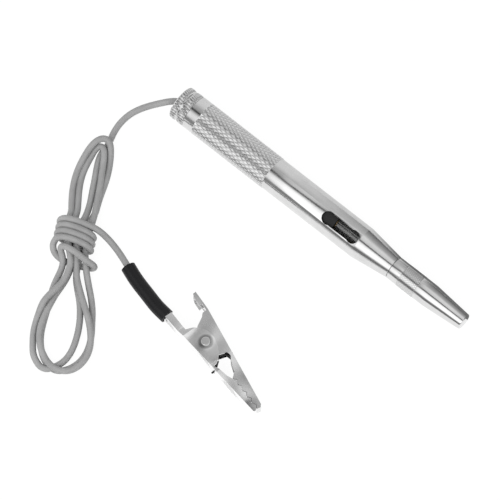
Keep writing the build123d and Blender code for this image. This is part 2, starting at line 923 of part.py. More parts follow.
with BuildPart() as clip_spring:
    lower_leg_reach = 2.2
    upper_leg_reach = 3.4
    leg_bends = [0.9, 0.7]
    hook_overhang = 0.5
    with BuildLine():
        turns = Helix(
            pitch=clip_coil_pitch,
            height=clip_coil_pitch * clip_coil_turns,
            radius=clip_coil_radius,
            center=(clip_pivot_x, clip_pivot_y, clip_z - clip_coil_pitch * clip_coil_turns / 2),
        )
    with BuildSketch(Plane(origin=turns @ 0, z_dir=turns % 0)):
        Circle(clip_wire_radius)
    sweep(path=turns, is_frenet=True)
    # Each leg leaves the coil along its tangent and hooks over a jaw
    for joint, leg_end, hook, reach, overhang in (
        (turns @ 0, turns @ 0 - clip_leg_rise * (turns % 0), lower_hook, -lower_leg_reach, -hook_overhang),
        (turns @ 1, turns @ 1 + clip_leg_rise * (turns % 1), upper_hook, upper_leg_reach, hook_overhang),
    ):
        with BuildLine():
            leg = FilletPolyline(
                joint,
                leg_end,
                clip_point(hook[0], reach, leg_end.Z),
                clip_point(hook[0], hook[1] + overhang, leg_end.Z),
                radius=leg_bends,
            )
        with BuildSketch(Plane(origin=leg @ 0, z_dir=leg % 0)):
            Circle(clip_wire_radius)
        sweep(path=leg)
clip_spring.part.label = "clip_spring"
export_step(clip_spring.part, "parts/clip_spring.step")

with BuildPart() as clip_conductor:
    conductor_plane = Plane(
        origin=clip_point(*jacket_front, clip_z),
        x_dir=(0, 0, 1),
        z_dir=Vector(*clip_point(*crimp_front, clip_z)) - Vector(*clip_point(*jacket_front, clip_z)),
    )
    with BuildSketch(conductor_plane):
        Circle(conductor_radius)
    extrude(amount=clip_conductor_length)
clip_conductor.part.label = "clip_conductor"
export_step(clip_conductor.part, "parts/clip_conductor.step")

# ---------------------------------------------------------------- cord report

for name, path, radii, solid in (
    ("cord_pen_run", pen_path, pen_run_radii, cord_pen_run.part),
    ("cord_clip_run", clip_path, clip_run_radii, cord_clip_run.part),
):
    section = math.pi * cord_radius**2
    print(name, "radii", [round(r, 1) for r in radii], "length", round(path.length, 1))
    print(name, "volume", round(solid.volume, 2), "section x length", round(section * path.length, 2))
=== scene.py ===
import math

import bpy
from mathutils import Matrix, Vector


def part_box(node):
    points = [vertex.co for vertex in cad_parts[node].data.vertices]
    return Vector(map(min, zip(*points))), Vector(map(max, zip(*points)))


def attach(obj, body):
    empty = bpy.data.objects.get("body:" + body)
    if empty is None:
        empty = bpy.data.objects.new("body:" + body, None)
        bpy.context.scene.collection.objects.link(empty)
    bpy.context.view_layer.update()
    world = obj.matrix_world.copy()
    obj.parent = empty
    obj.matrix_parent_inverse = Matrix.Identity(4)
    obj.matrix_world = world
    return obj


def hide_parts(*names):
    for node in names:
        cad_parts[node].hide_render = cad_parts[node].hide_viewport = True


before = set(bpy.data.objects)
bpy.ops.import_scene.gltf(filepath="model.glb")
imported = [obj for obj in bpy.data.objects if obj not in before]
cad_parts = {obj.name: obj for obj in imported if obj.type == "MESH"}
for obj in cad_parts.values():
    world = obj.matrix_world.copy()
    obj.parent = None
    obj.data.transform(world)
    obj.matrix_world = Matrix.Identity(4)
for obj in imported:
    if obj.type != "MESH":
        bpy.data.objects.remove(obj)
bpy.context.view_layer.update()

bl_info = {
    "name": "Circuit Test Light",
    "version": (1, 0, 0),
    "blender": (4, 5, 0),
    "location": "3D View > Sidebar > Test Light",
    "description": "Builds the looks of a pen-shaped circuit test light round its packed frame",
    "category": "Object",
}

MM = 0.001

# ---------------------------------------------------------------- places taken from the frame

cap_low, cap_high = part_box("rear_cap")
barrel_low, barrel_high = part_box("barrel")
front_low, front_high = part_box("front_cap")
AXIS_Z = (cap_low.z + cap_high.z) / 2
FLANGE_X = barrel_low.x
NOSE_X = front_low.x
TIP_X = front_high.x
PIVOT = sum(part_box("clip_pivot"), Vector()) / 2
REAR_X = cap_low.x
GRIP_RADIUS = (barrel_high.z - barrel_low.z) / 2

# ---------------------------------------------------------------- sizes that more than one piece keeps to

NOSE_RADIUS = 4.05 * MM
KNURL_SLANT = 30.0

# The clip's pressed plate: the distance from the rivet that its painted shade is laid out over, and the dish
# about the rivet
SHADE_REACH = 8 * MM
DISH_RADIUS = 4.2 * MM
DISH_HEIGHT = 2.2 * MM

# ---------------------------------------------------------------- the cord's route, millimetres

# From the rear cap down to the table and into the hank
PEN_RUN = (
    (-55.4, 0.0, 6.0),
    (-60.2, 0.0, 6.0),
    (-62.7, -1.9, 5.5),
    (-64.9, -4.2, 4.7),
    (-67.2, -6.6, 3.5),
    (-69.3, -9.3, 2.4),
    (-70.9, -12.5, 1.6),
    (-71.5, -16.2, 1.2),
    (-71.2, -20.0, 1.15),
    (-70.1, -23.6, 1.1),
)

# Through the top of the hank to the tie, under the two folds there
FIRST_STRAND = (
    (-69.4, -26.2, 1.1),
    (-69.4, -28.5, 1.1),
    (-68.8, -30.9, 1.1),
    (-67.5, -33.5, 1.1),
    (-65.4, -37.0, 1.1),
    (-63.1, -41.1, 1.1),
    (-60.9, -44.8, 1.5),
    (-59.3, -48.0, 2.6),
    (-58.2, -51.0, 3.9),
)

# Upper loop of the three below the tie: down the right side over the others, up inside the left
TOP_LOOP = (
    (-51.4, -62.9, 4.6),
    (-49.6, -65.2, 3.9),
    (-47.5, -67.6, 3.4),
    (-44.4, -70.0, 3.3),
    (-40.5, -72.7, 3.3),
    (-36.4, -75.4, 3.3),
    (-32.8, -78.2, 3.3),
    (-29.9, -81.2, 3.3),
    (-27.8, -84.5, 3.3),
    (-26.9, -88.1, 3.3),
    (-27.3, -92.0, 3.3),
    (-29.2, -95.0, 3.6),
    (-32.0, -96.4, 4.1),
    (-34.4, -96.5, 4.2),
    (-37.0, -95.8, 3.8),
    (-40.1, -94.2, 3.3),
    (-42.9, -91.9, 3.3),
    (-45.1, -88.8, 3.3),
    (-46.6, -85.4, 3.2),
    (-47.6, -82.2, 2.9),
    (-48.4, -79.2, 2.4),
    (-49.1, -76.2, 2.1),
    (-49.4, -73.0, 2.0),
    (-49.9, -69.8, 2.1),
    (-50.8, -66.8, 2.5),
    (-52.4, -64.2, 3.0),
)

# Outer fold at the top, over the inner one and over the first strand
OUTER_FOLD = (
    (-63.1, -51.6, 2.8),
    (-65.8, -48.4, 1.6),
    (-68.5, -44.8, 1.1),
    (-70.5, -41.2, 1.1),
    (-71.9, -37.6, 1.4),
    (-72.6, -34.0, 2.4),
    (-73.0, -30.6, 3.6),
    (-72.7, -27.7, 4.4),
    (-71.7, -25.6, 4.4),
    (-70.1, -24.8, 4.0),
    (-68.4, -25.5, 3.4),
    (-66.7, -27.4, 2.6),
    (-65.3, -29.4, 1.7),
    (-63.9, -31.7, 1.1),
    (-62.5, -34.4, 1.1),
    (-61.2, -37.5, 1.1),
    (-60.0, -40.8, 1.1),
    (-58.5, -44.1, 1.2),
    (-57.0, -47.0, 1.9),
)

# Crossing loop: under the first on the right, under it at the foot, then outside and over it on the left
CROSSING_LOOP = (
    (-50.6, -62.6, 3.0),
    (-49.4, -65.2, 1.9),
    (-47.6, -67.8, 1.1),
    (-44.5, -70.6, 1.1),
    (-41.6, -73.0, 1.1),
    (-39.3, -75.5, 1.1),
    (-37.3, -78.1, 1.1),
    (-35.5, -81.0, 1.1),
    (-34.0, -84.0, 1.1),
    (-32.9, -86.9, 1.1),
    (-32.3, -89.8, 1.2),
    (-32.2, -92.4, 1.8),
    (-32.7, -94.8, 2.5),
    (-33.6, -96.6, 2.5),
    (-35.0, -97.9, 1.8),
    (-37.0, -98.3, 1.1),
    (-39.3, -97.7, 1.1),
    (-41.9, -96.3, 1.1),
    (-43.8, -94.1, 1.1),
    (-45.5, -92.0, 1.1),
    (-47.0, -89.7, 1.2),
    (-48.2, -87.1, 1.7),
    (-49.2, -84.4, 2.6),
    (-50.1, -81.6, 3.8),
    (-50.1, -78.4, 4.4),
    (-49.7, -75.2, 4.4),
    (-49.6, -72.5, 4.3),
    (-49.9, -70.0, 4.3),
    (-50.8, -67.3, 4.6),
    (-52.2, -64.7, 5.1),
)

# Inner fold at the top, whose end shows inside the outer one
INNER_FOLD = (
    (-61.6, -50.4, 2.8),
    (-64.1, -47.1, 1.6),
    (-66.8, -43.5, 1.1),
    (-68.9, -39.9, 1.1),
    (-70.3, -36.1, 1.2),
    (-71.1, -32.4, 1.5),
    (-71.6, -29.8, 2.0),
    (-71.2, -28.0, 2.6),
    (-69.8, -27.6, 3.3),
    (-68.2, -28.9, 3.4),
    (-66.8, -30.9, 3.0),
    (-65.2, -33.4, 2.4),
    (-62.8, -37.2, 2.2),
    (-60.5, -41.0, 2.6),
    (-58.4, -44.4, 3.2),
    (-56.6, -47.6, 3.7),
)

# Lowest loop: outermost on the right, under the first at the foot, and up the far left to the tie's start
LOW_LOOP = (
    (-48.4, -61.9, 3.7),
    (-46.2, -64.2, 3.0),
    (-43.0, -66.9, 1.6),
    (-39.3, -69.9, 1.1),
    (-36.2, -73.0, 1.1),
    (-33.8, -76.1, 1.1),
    (-31.3, -79.3, 1.1),
    (-29.3, -82.8, 1.1),
    (-28.2, -86.6, 1.1),
    (-28.4, -90.4, 1.1),
    (-29.8, -93.8, 1.1),
    (-32.2, -96.2, 1.1),
    (-35.4, -96.4, 1.1),
    (-38.4, -95.2, 1.1),
    (-41.0, -93.3, 1.1),
    (-43.1, -91.1, 1.1),
    (-44.9, -88.4, 1.1),
    (-46.4, -85.4, 1.1),
    (-47.7, -82.5, 1.1),
    (-49.0, -79.8, 1.1),
    (-50.4, -77.1, 1.1),
    (-51.6, -74.4, 1.3),
    (-52.4, -71.6, 1.7),
    (-53.0, -69.0, 2.1),
    (-53.9, -66.8, 2.7),
    (-55.4, -65.2, 3.7),
    (-56.8, -64.5, 4.9),
)

# The cord comes up beside the strands, crosses over them and goes back under them
TIE_START = (
    (-57.4, -63.6, 6.2),
    (-56.4, -63.0, 7.2),
    (-54.3, -62.6, 7.6),
    (-51.5, -62.4, 7.6),
    (-48.2, -62.3, 6.9),
    (-46.0, -61.6, 5.4),
    (-44.9, -61.3, 3.5),
    (-45.8, -61.8, 1.6),
    (-48.8, -63.3, 1.15),
    (-52.0, -64.7, 1.15),
    (-55.0, -65.6, 1.3),
    (-57.4, -65.9, 2.2),
    (-59.2, -65.4, 3.2),
    (-60.5, -64.1, 4.0),
)

# From the tie's last turn down to the table and up into the clip
CLIP_RUN = (
    (-52.2, -51.3, 5.6),
    (-48.6, -50.8, 3.0),
    (-44.2, -51.4, 1.5),
    (-40.4, -52.7, 1.9),
    (-36.9, -54.1, 2.55),
    (-31.9, -56.0, 2.8),
    (-26.5, -57.4, 3.3),
    (-20.75, -58.93, 3.7),
    (-16.77, -59.33, 3.75),
)

# The tie: its lowest neat turn's middle, the way from turn to turn, the way across the strands
TIE_MIDDLE = Vector((-55.0, -60.3, 4.5))
TIE_ALONG = Vector((0.47, -0.88, 0.0))
TIE_ACROSS = Vector((0.96, 0.28, 0.0))
TIE_PITCH = 2.18
TIE_HALF_WIDTH = 6.3
TIE_HALF_HEIGHT = 3.35
TIE_ROUNDNESS = 2.3
TIE_BOW = 0.9
TIE_NEAT_TURNS = 4
POINTS_PER_TURN = 12
STRAND_SPACING = 2.05
STRAND_STAGGER = 0.4
STRAND_LAYER = 1.05
STRAND_STATIONS = (-5.4, -2.2, 0.6)


def through_tie(upper, lower, layer, down):
    """A strand's points inside the tie, from its slot at the upper end to another at the lower."""
    points = []
    for i, station in enumerate(STRAND_STATIONS):
        share = i / (len(STRAND_STATIONS) - 1)
        side = TIE_ACROSS * STRAND_SPACING * (upper + (lower - upper) * share)
        stagger = STRAND_STAGGER if upper % 2 else -STRAND_STAGGER
        rise = Vector((0, 0, stagger * (1 - share) + STRAND_LAYER * layer * share))
        points.append(TIE_MIDDLE + TIE_ALONG * station + side + rise)
    return points if down else points[::-1]


def tie_turns():
    """The neat turns over the strands, from the left of the lowest to the top of the uppermost."""
    points = []
    last = POINTS_PER_TURN * (TIE_NEAT_TURNS - 1) + POINTS_PER_TURN // 3
    for i in range(last + 1):
        turn = i / POINTS_PER_TURN
        angle = 2 * math.pi * turn
        across = -math.copysign(abs(math.cos(angle)) ** (2 / TIE_ROUNDNESS), math.cos(angle))
        height = math.copysign(abs(math.sin(angle)) ** (2 / TIE_ROUNDNESS), math.sin(angle))
        back = TIE_PITCH * (turn - 0.25) + TIE_BOW * max(0.0, height)
        lift = Vector((0, 0, TIE_HALF_HEIGHT * height))
        points.append(TIE_MIDDLE - TIE_ALONG * back + TIE_ACROSS * TIE_HALF_WIDTH * across + lift)
    return points


def cord_route():
    """The whole route, in millimetres, from inside the rear cap to inside the clip."""
    return [
        *PEN_RUN,
        *FIRST_STRAND,
        *through_tie(0, 0.7, 1, True),
        *TOP_LOOP,
        *through_tie(-2, -0.8, -1, False),
        *OUTER_FOLD,
        *through_tie(1, 0.9, -1, True),
        *CROSSING_LOOP,
        *through_tie(-1, -0.8, 1, False),
        *INNER_FOLD,
        *through_tie(2, 2.1, 0, True),
        *LOW_LOOP,
        *TIE_START,
        *tie_turns(),
        *CLIP_RUN,
    ]


# ---------------------------------------------------------------- light round the pen, and the camera's aim

# Degrees from straight up towards the front, and how bright the tent is there: beside the rear end,
# and beside the probe end
REAR_BANDS = (
    (-90, 0.82),
    (-52, 0.8),
    (-36, 0.66),
    (-24, 0.48),
    (-9, 0.42),
    (-3, 0.3),
    (0, 0.04),
    (8, 0.05),
    (12, 0.36),
    (17, 0.55),
    (27, 0.92),
    (38, 1.02),
    (50, 0.96),
    (60, 0.78),
    (68, 0.3),
    (84, 0.26),
    (90, 0.4),
)
PROBE_BANDS = (
    (-90, 0.1),
    (-74, 0.22),
    (-54, 0.36),
    (-38, 0.5),
    (-24, 0.88),
    (-5, 0.84),
    (5, 0.7),
    (8, 0.05),
    (14, 0.05),
    (17, 0.7),
    (22, 1.2),
    (38, 1.5),
    (55, 1.45),
    (61, 1.05),
    (68, 0.22),
    (84, 0.18),
    (90, 0.4),
)

# Where along the pen the tent changes from the one to the other
BANDS_CHANGE_START = -0.17
BANDS_CHANGE_END = -0.1

TENT_RADIUS = 0.8
TENT_LENGTH = 5.0

SOFTBOX_LENGTH = 1.1
SOFTBOX_WIDTH = 0.52
SOFTBOX_DISTANCE = 0.6
SOFTBOX_DEGREES = 37.0

# The card on the floor, and how bright it is behind the rear end and behind the probe end
CARD_LENGTH = 0.6
CARD_WIDTH = 0.3
CARD_Y = 0.153
CARD_Z = 0.0002
CARD_BANDS = ((0.0, 0.78), (0.525, 0.78), (0.545, 0.2), (1.0, 0.2))

# How bright the surroundings are as a light, and where they are seen
LIGHT_LEVEL = 0.62
SEEN_LEVEL = 1.0

# How far the camera's aim lies left of the pen's middle, and below it
AIM_LEFT = 23.3
AIM_DOWN = 12.6

# ---------------------------------------------------------------- shader maths


class Signal:
    """A socket that takes part in Python arithmetic: each operator adds a Math node to its finish."""

    def __init__(self, finish, socket):
        self.finish = finish
        self.socket = socket

    def calculate(self, operation, *operands):
        made = self.finish.node("ShaderNodeMath", {"operation": operation}, dict(enumerate(operands)))
        return made.signal()

    def __add__(self, other):
        return self.calculate("ADD", self, other)

    def __radd__(self, other):
        return self.calculate("ADD", other, self)

    def __sub__(self, other):
        return self.calculate("SUBTRACT", self, other)

    def __rsub__(self, other):
        return self.calculate("SUBTRACT", other, self)

    def __mul__(self, other):
        return self.calculate("MULTIPLY", self, other)

    def __rmul__(self, other):
        return self.calculate("MULTIPLY", other, self)

    def __pow__(self, other):
        return self.calculate("POWER", self, other)

    def maximum(self, other):
        return self.calculate("MAXIMUM", self, other)

    def turn_from(self, upright):
        """The angle from the upright axis of a point that lies this far aside."""
        return self.calculate("ARCTAN2", self, upright)


class Made:
    """A node that has been added, with its outputs as signals."""

    def __init__(self, finish, node):
        self.finish = finish
        self.shader_node = node

    def signal(self, output=0):
        return Signal(self.finish, self.shader_node.outputs[output])


class Finish:
    """A material made of one Principled shader and the nodes that vary it."""

    def __init__(self, name, **constants):
        self.material = bpy.data.materials.new(name)
        self.material.use_nodes = True
        self.tree = self.material.node_tree
        self.tree.nodes.clear()
        sockets = {name.replace("_", " "): value for name, value in constants.items()}
        self.shader = self.node("ShaderNodeBsdfPrincipled", {}, sockets)
        self.output = self.node("ShaderNodeOutputMaterial", {}, {"Surface": self.shader.signal("BSDF")})

    def node(self, kind, settings, sockets):
        """Adds a node of this kind: its settings first, then the values or links of its sockets."""
        node = self.tree.nodes.new(kind)
        for name, value in settings.items():
            if name == "stops":
                self._set_stops(node.color_ramp, value)
            else:
                setattr(node, name, value)
        made = Made(self, node)
        for name, value in sockets.items():
            self.feed(made, name, value)
        return made

    def feed(self, made, name, value):
        """Links a signal to a node's socket, or sets the socket to a constant."""
        socket = made.shader_node.inputs[name]
        if isinstance(value, Signal):
            self.tree.links.new(value.socket, socket)
        else:
            socket.default_value = value

    @staticmethod
    def _set_stops(ramp, stops):
        while len(ramp.elements) < len(stops):
            ramp.elements.new(0.5)
        for element, (position, shade) in zip(ramp.elements, stops):
            element.position = position
            element.color = (*shade, 1) if isinstance(shade, tuple) else (shade, shade, shade, 1)

    def vary(self, name, signal):
        """Feeds a signal to one of the shader's own sockets."""
        self.feed(self.shader, name, signal)

    def place(self):
        """The point of the surface, in the object's own coordinates."""
        return self.node("ShaderNodeTexCoord", {}, {}).signal("Object")

    def noise(self, scale, detail=2.0, stretch=(1, 1, 1)):
        """Noise of this scale, in waves a metre, drawn out along an axis where its stretch is small."""
        mapping = self.node("ShaderNodeMapping", {}, {"Vector": self.place(), "Scale": stretch})
        sockets = {"Vector": mapping.signal(), "Scale": scale, "Detail": detail}
        return self.node("ShaderNodeTexNoise", {}, sockets).signal("Fac")

    def ramp(self, signal, *stops):
        """A signal carried through a colour ramp."""
        return self.node("ShaderNodeValToRGB", {"stops": stops}, {"Fac": signal}).signal("Color")

    def bump(self, height, strength, distance):
        """Raises the surface's shading by a height, over this distance in metres."""
        sockets = {"Strength": strength, "Distance": distance, "Height": height}
        self.vary("Normal", self.node("ShaderNodeBump", {}, sockets).signal("Normal"))


def grey(level):
    return (level, level, level)


def plated(name, level, smoothness, grain):
    """Nickel plate: slight clouding, and fine turning marks that run round the pen's axis."""
    finish = Finish(name, Metallic=1.0)
    clouds = finish.noise(260.0, 3.0)
    marks = finish.noise(1.0, 4.0, (9000.0, 260.0, 260.0))
    finish.vary("Base Color", finish.ramp(clouds, (0.3, grey(level * 0.94)), (0.7, grey(level * 1.04))))
    finish.vary("Roughness", smoothness + (marks - 0.5) * 0.12 + (clouds - 0.5) * 0.06)
    finish.bump(marks, grain, 0.00002)
    return finish.material


def grooved_plate(name, level, smoothness, radius, depth, bottom):
    """Nickel plate with painted shade in the bottoms of the grooves cut into it, down to a share of its
    level, and a painted highlight on the crests.
    """
    finish = Finish(name, Metallic=1.0)
    axes = finish.node("ShaderNodeSeparateXYZ", {}, {"Vector": finish.place()})
    height = axes.signal("Z") - AXIS_Z
    out = (axes.signal("Y") * axes.signal("Y") + height * height) ** 0.5
    share = (out - (radius - depth)) * (1 / depth)
    clouds = finish.noise(700.0, 3.0)
    # Painted shade and highlight: the colour darkens towards the groove bottoms and lightens on the crests.
    painted_shading = share + (clouds - 0.5) * 0.3
    stops = (
        (0.05, grey(level * bottom)),
        (0.4, grey(level * (0.6 + 0.4 * bottom))),
        (0.7, grey(level)),
        (0.95, grey(min(1.0, level * 1.3))),
    )
    finish.vary("Base Color", finish.ramp(painted_shading, *stops))
    finish.vary("Roughness", smoothness + (clouds - 0.5) * 0.12)
    return finish.material


def pressed_plate(name, level, smoothness):
    """Bright nickel on pressed sheet: dished about the rivet, a little wavy, with the die's drag marks, and
    painted shade close about the rivet.
    """
    finish = Finish(name, Metallic=1.0)
    axes = finish.node("ShaderNodeSeparateXYZ", {}, {"Vector": finish.place()})
    along = axes.signal("X") - PIVOT.x
    aside = axes.signal("Y") - PIVOT.y
    out = (along * along + aside * aside) ** 0.5
    clouds = finish.noise(420.0, 4.0)
    drag = finish.noise(1.0, 3.0, (700.0, 3800.0, 3800.0))
    # Painted shade: the plate's colour is darkened close about the rivet and comes up to its full level a
    # little further out.
    painted_shading = out * (1 / SHADE_REACH) + (clouds - 0.5) * 0.06
    stops = (
        (0.17, grey(level * 0.35)),
        (0.27, grey(level * 0.5)),
        (0.34, grey(level)),
        (0.9, grey(level * 1.05)),
    )
    finish.vary("Base Color", finish.ramp(painted_shading, *stops))
    finish.vary("Roughness", smoothness + (drag - 0.5) * 0.14 + (clouds - 0.5) * 0.1)
    dish = (out * (1 / DISH_RADIUS)) ** 2 + 1
    finish.bump(finish.noise(95.0, 0.0) + dish**-1 * 0.5, 1.0, DISH_HEIGHT)
    return finish.material


def soft_vinyl(name, colour, roughness, pits):
    """Flexible vinyl: an even colour with faint mottling and a fine matt skin."""
    finish = Finish(name, Specular_IOR_Level=0.25)
    mottle = finish.noise(180.0, 3.0)
    skin = finish.noise(5200.0, 2.0)
    pale = tuple(channel * 1.1 for channel in colour)
    deep = tuple(channel * 0.9 for channel in colour)
    finish.vary("Base Color", finish.ramp(mottle, (0.3, deep), (0.7, pale)))
    finish.vary("Roughness", roughness + (skin - 0.5) * 0.16)
    finish.bump(skin, pits, 0.00004)
    return finish.material


def coloured_metal(name, colour, roughness):
    """Brass, copper or steel wire with a slight tarnish."""
    finish = Finish(name, Metallic=1.0)
    tarnish = finish.noise(900.0, 4.0)
    dull = tuple(channel * 0.75 for channel in colour)
    finish.vary("Base Color", finish.ramp(tarnish, (0.35, dull), (0.65, colour)))
    finish.vary("Roughness", roughness + (tarnish - 0.5) * 0.2)
    return finish.material


def clear_glass(name):
    """The lamp's clear tube: thin enough to see through, with faint drawing lines along it."""
    finish = Finish(name, IOR=2.2, Specular_IOR_Level=1.0)
    lines = finish.noise(1.0, 2.0, (40.0, 1600.0, 1600.0))
    finish.vary("Base Color", finish.ramp(lines, (0.3, (0.1, 0.1, 0.1)), (0.7, (0.14, 0.14, 0.14))))
    finish.vary("Roughness", 0.03 + lines * 0.04)
    finish.vary("Alpha", 0.3 + lines * 0.1)
    return finish.material


# ---------------------------------------------------------------- mesh helpers


def deselect():
    if bpy.context.mode != "OBJECT":
        bpy.ops.object.mode_set(mode="OBJECT")
    bpy.ops.object.select_all(action="DESELECT")


def activate(piece):
    deselect()
    piece.select_set(True)
    bpy.context.view_layer.objects.active = piece


def new_piece(name):
    """Names the primitive that was just added, and settles its place into its mesh."""
    piece = bpy.context.active_object
    piece.name = name
    piece.data.name = name
    activate(piece)
    bpy.ops.object.transform_apply(location=True, rotation=True, scale=True)
    return piece


def choose(piece, kind, test):
    """Selects the vertices, edges or faces for which the test holds, and leaves the piece in edit mode."""
    bpy.ops.object.mode_set(mode="EDIT")
    bpy.ops.mesh.select_mode(type={"vertices": "VERT", "edges": "EDGE", "polygons": "FACE"}[kind])
    bpy.ops.mesh.select_all(action="DESELECT")
    bpy.ops.object.mode_set(mode="OBJECT")
    for element in getattr(piece.data, kind):
        element.select = test(element)
    bpy.ops.object.mode_set(mode="EDIT")


def tidy_mesh(piece):
    """Merges doubles and points every face outwards."""
    activate(piece)
    bpy.ops.object.mode_set(mode="EDIT")
    bpy.ops.mesh.select_all(action="SELECT")
    bpy.ops.mesh.remove_doubles(threshold=0.000002)
    bpy.ops.mesh.normals_make_consistent(inside=False)
    bpy.ops.object.mode_set(mode="OBJECT")


def apply_modifier(piece, kind, **settings):
    activate(piece)
    modifier = piece.modifiers.new(kind.title(), kind)
    for name, value in settings.items():
        setattr(modifier, name, value)
    bpy.ops.object.modifier_apply(modifier=modifier.name)


def boolean(piece, tool, operation):
    """Cuts the tool away from the piece, or joins it on, and removes the tool."""
    apply_modifier(
        piece, "BOOLEAN", operation=operation, solver="EXACT", material_mode="TRANSFER", object=tool
    )
    bpy.data.objects.remove(tool)


def smooth(piece, angle=30.0):
    activate(piece)
    bpy.ops.object.shade_smooth_by_angle(angle=math.radians(angle))


def set_material(piece, material):
    piece.data.materials.clear()
    piece.data.materials.append(material)


def draw_in(share):
    """Draws the selected vertices in towards the pen's axis, to this share of their distance from it."""
    bpy.ops.transform.resize(value=(1, share, share), center_override=(0, 0, AXIS_Z))


def turned(name, outline, steps=96):
    """A solid of revolution about the pen's axis, spun from a closed outline of (x, radius) points."""
    start = Vector((outline[0][0], 0, AXIS_Z + outline[0][1]))
    bpy.ops.mesh.primitive_plane_add(size=MM, location=start)
    piece = new_piece(name)
    choose(piece, "vertices", lambda vertex: vertex.index > 0)
    bpy.ops.mesh.delete(type="VERT")
    bpy.ops.mesh.select_all(action="SELECT")
    bpy.ops.transform.translate(value=(MM / 2, MM / 2, 0))
    for (x, radius), (next_x, next_radius) in zip(outline, outline[1:]):
        step = (next_x - x, 0, next_radius - radius)
        bpy.ops.mesh.extrude_region_move(TRANSFORM_OT_translate={"value": step})
    last = len(outline) - 1
    choose(piece, "vertices", lambda vertex: vertex.index in (0, last))
    bpy.ops.mesh.edge_face_add()
    bpy.ops.mesh.select_all(action="SELECT")
    bpy.ops.mesh.spin(
        steps=steps,
        angle=2 * math.pi,
        use_auto_merge=True,
        center=(0, 0, AXIS_Z),
        axis=(1, 0, 0),
    )
    tidy_mesh(piece)
    return piece


def cut_band(name, start, end, radius, inner_radius, starts, depth, slant):
    """A ring cut into diamonds by two sets of slanting grooves, or into flutes where the slant is nought."""
    half_cell = math.pi * radius / starts
    rows = round((end - start) / (half_cell / math.tan(math.radians(slant)))) if slant else 2
    bpy.ops.mesh.primitive_cylinder_add(
        vertices=2 * starts,
        radius=radius,
        depth=end - start,
        end_fill_type="NOTHING",
        location=((start + end) / 2, 0, AXIS_Z),
        rotation=(0, math.pi / 2, 0),
    )
    piece = new_piece(name)

    def lengthwise(edge):
        first, second = (piece.data.vertices[i].co for i in edge.vertices)
        return abs(first.x - second.x) > MM

    choose(piece, "edges", lengthwise)
    bpy.ops.mesh.subdivide(number_cuts=rows - 1)
    row_length = (end - start) / rows

    def in_groove(vertex):
        row = round((vertex.co.x - start) / row_length)
        turn = math.atan2(vertex.co.y, vertex.co.z - AXIS_Z) / (2 * math.pi)
        column = round((turn % 1) * 2 * starts)
        return (row + column if slant else column) % 2 == 0

    choose(piece, "vertices", in_groove)
    draw_in((radius - depth) / radius)
    bpy.ops.mesh.select_all(action="SELECT")
    bpy.ops.mesh.quads_convert_to_tris(quad_method="SHORTEST_DIAGONAL")
    for end_x in (start, end):
        choose(piece, "vertices", lambda vertex: abs(vertex.co.x - end_x) < row_length / 4)
        bpy.ops.mesh.extrude_region_move(TRANSFORM_OT_translate={"value": (0, 0, 0)})
        draw_in(inner_radius / radius)

    def at_inside(vertex):
        return math.hypot(vertex.co.y, vertex.co.z - AXIS_Z) < radius - depth * 1.2

    choose(piece, "vertices", at_inside)
    bpy.ops.mesh.bridge_edge_loops()
    tidy_mesh(piece)
    return piece


# ---------------------------------------------------------------- settings a user would change


class FinishSettings(bpy.types.PropertyGroup):
    """Colours of the test light."""

    plate_level: bpy.props.FloatProperty(
        name="Plate brightness",
        description="How pale the nickel plate is",
        default=0.74,
        min=0,
        max=1,
        subtype="FACTOR",
    )
    clip_level: bpy.props.FloatProperty(
        name="Clip brightness",
        description="How pale the clip's plate is",
        default=0.95,
        min=0,
        max=1,
        subtype="FACTOR",
    )
    cord_colour: bpy.props.FloatVectorProperty(
        name="Cord",
        description="Colour of the cord's jacket",
        default=(0.33, 0.33, 0.33),
        size=3,
        subtype="COLOR",
    )
    boot_colour: bpy.props.FloatVectorProperty(
        name="Boot",
        description="Colour of the sleeve over the clip's tail",
        default=(0.009, 0.009, 0.01),
        size=3,
        subtype="COLOR",
    )


class SizeSettings(bpy.types.PropertyGroup):
    """Sizes of what is modelled here rather than in the frame."""

    cord_diameter: bpy.props.FloatProperty(
        name="Cord diameter", description="Across the cord's jacket", default=2.2 * MM, unit="LENGTH"
    )
    grip_starts: bpy.props.IntProperty(
        name="Grip grooves", description="Grooves each way round the grip", default=28
    )
    grip_depth: bpy.props.FloatProperty(
        name="Grip depth", description="Depth of the grip's grooves", default=0.17 * MM, unit="LENGTH"
    )
    flutes: bpy.props.IntProperty(
        name="Flutes", description="Flutes round the rear cap", default=40
    )
    flute_depth: bpy.props.FloatProperty(
        name="Flute depth", description="Depth of the rear cap's flutes", default=0.2 * MM, unit="LENGTH"
    )
    cap_starts: bpy.props.IntProperty(
        name="Cap grooves", description="Grooves each way round the front cap", default=36
    )
    cap_depth: bpy.props.FloatProperty(
        name="Cap depth",
        description="Depth of the front cap's grooves",
        default=0.07 * MM,
        unit="LENGTH",
    )


class StageSettings(bpy.types.PropertyGroup):
    """Camera and lights."""

    azimuth: bpy.props.FloatProperty(
        name="Azimuth",
        description="Turn of the camera round the pen",
        default=math.radians(39.7),
        unit="ROTATION",
    )
    elevation: bpy.props.FloatProperty(
        name="Elevation",
        description="Height of the camera's line",
        default=math.radians(70.0),
        unit="ROTATION",
    )
    distance: bpy.props.FloatProperty(
        name="Distance", description="From the camera to the pen", default=2.715, unit="LENGTH"
    )
    lens: bpy.props.FloatProperty(
        name="Lens", description="Focal length in millimetres", default=600.0
    )
    softbox_power: bpy.props.FloatProperty(
        name="Softbox", description="Power of the main light", default=3.0, unit="POWER"
    )


# ---------------------------------------------------------------- operators


